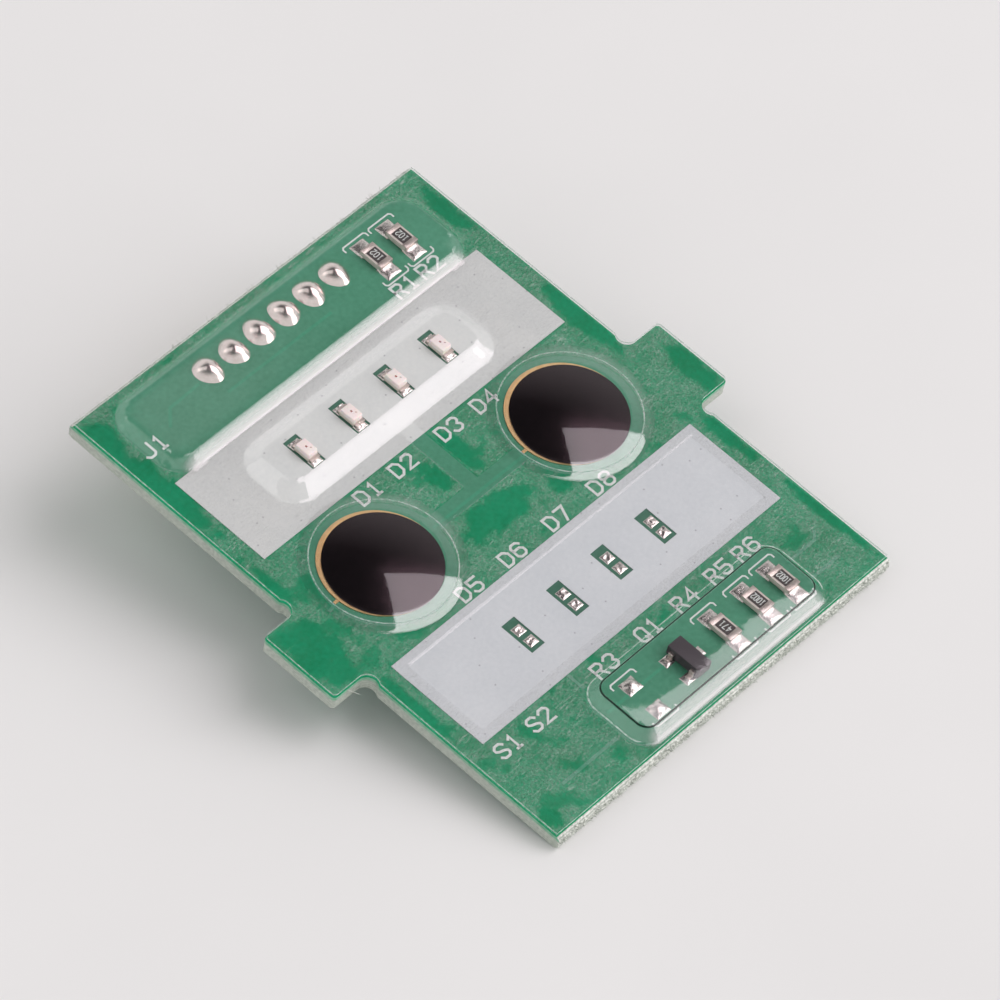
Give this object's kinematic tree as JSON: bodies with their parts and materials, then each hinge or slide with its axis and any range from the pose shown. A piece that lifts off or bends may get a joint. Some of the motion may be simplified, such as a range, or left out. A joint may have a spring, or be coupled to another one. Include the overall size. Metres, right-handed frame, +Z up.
{
  "type": "elevator call button board",
  "caption": "Push-button circuit board with locating tabs, snap domes under an embossed clear film, chip lamps behind white print, and a pin header underneath.",
  "frame": {"origin": "middle of the footprint on the bench under the part", "axes": "+Z up from the bench, +X along the board's short edge, +Y toward the connector edge; the board leans on its connector and lower edge"},
  "size_m": [0.0402, 0.046, 0.0099],
  "materials": {
    "board_laminate": "green lacquer over woven glass laminate, satin",
    "white_ink": "printed white ink, satin",
    "gold_plate": "thin gold plate over copper, smooth",
    "dome_metal": "dark polished spring metal",
    "spacer_glue": "clear adhesive sheet",
    "clear_film": "clear embossed polyester film, glossy",
    "lamp_carrier": "moulded lamp carrier, matte",
    "lamp_lens": "cast lamp lens, satin",
    "tin_plate": "tin plate, satin",
    "chip_glaze": "dark glaze on ceramic",
    "mould_compound": "moulded epoxy, matte",
    "solder_tin": "reflowed solder, bright",
    "pin_metal": "tin-plated brass",
    "shroud_nylon": "moulded nylon, natural"
  },
  "bodies": {
    "board": {"circuit_board": "board_laminate", "reflector_print_upper": "white_ink", "reflector_print_lower": "white_ink", "ring_contact_left": "gold_plate", "ring_contact_right": "gold_plate", "centre_contact_left": "gold_plate", "centre_contact_right": "gold_plate", "spacer_adhesive": "spacer_glue", "cover_film": "clear_film", "led_1_carrier": "lamp_carrier", "led_1_lens": "lamp_lens", "led_1_ends": "tin_plate", "led_2_carrier": "lamp_carrier", "led_2_lens": "lamp_lens", "led_2_ends": "tin_plate", "led_3_carrier": "lamp_carrier", "led_3_lens": "lamp_lens", "led_3_ends": "tin_plate", "led_4_carrier": "lamp_carrier", "led_4_lens": "lamp_lens", "led_4_ends": "tin_plate", "resistor_1_body": "chip_glaze", "resistor_1_ends": "tin_plate", "resistor_2_body": "chip_glaze", "resistor_2_ends": "tin_plate", "resistor_3_body": "chip_glaze", "resistor_3_ends": "tin_plate", "resistor_4_body": "chip_glaze", "resistor_4_ends": "tin_plate", "resistor_5_body": "chip_glaze", "resistor_5_ends": "tin_plate", "transistor_body": "mould_compound", "transistor_leads": "tin_plate", "led_solder": "solder_tin", "resistor_solder": "solder_tin", "transistor_solder": "solder_tin", "spare_led_pads": "solder_tin", "spare_resistor_pads": "solder_tin", "header_solder": "solder_tin", "header_pins": "pin_metal", "header_shroud": "shroud_nylon"},
    "button_left": {"film_button_left": "clear_film", "snap_dome_left": "dome_metal"},
    "button_right": {"film_button_right": "clear_film", "snap_dome_right": "dome_metal"}
  },
  "joints": [
    {"name": "press_left", "type": "slide", "parent": "board", "child": "button_left", "axis": [0, 0.1757, -0.9844], "range_m": [0, 0.0004], "stiffness_N_per_m": 6000, "deforming": ["snap_dome_left"]},
    {"name": "press_right", "type": "slide", "parent": "board", "child": "button_right", "axis": [0, 0.1757, -0.9844], "range_m": [0, 0.0004], "stiffness_N_per_m": 6000, "deforming": ["snap_dome_right"]}
  ]
}
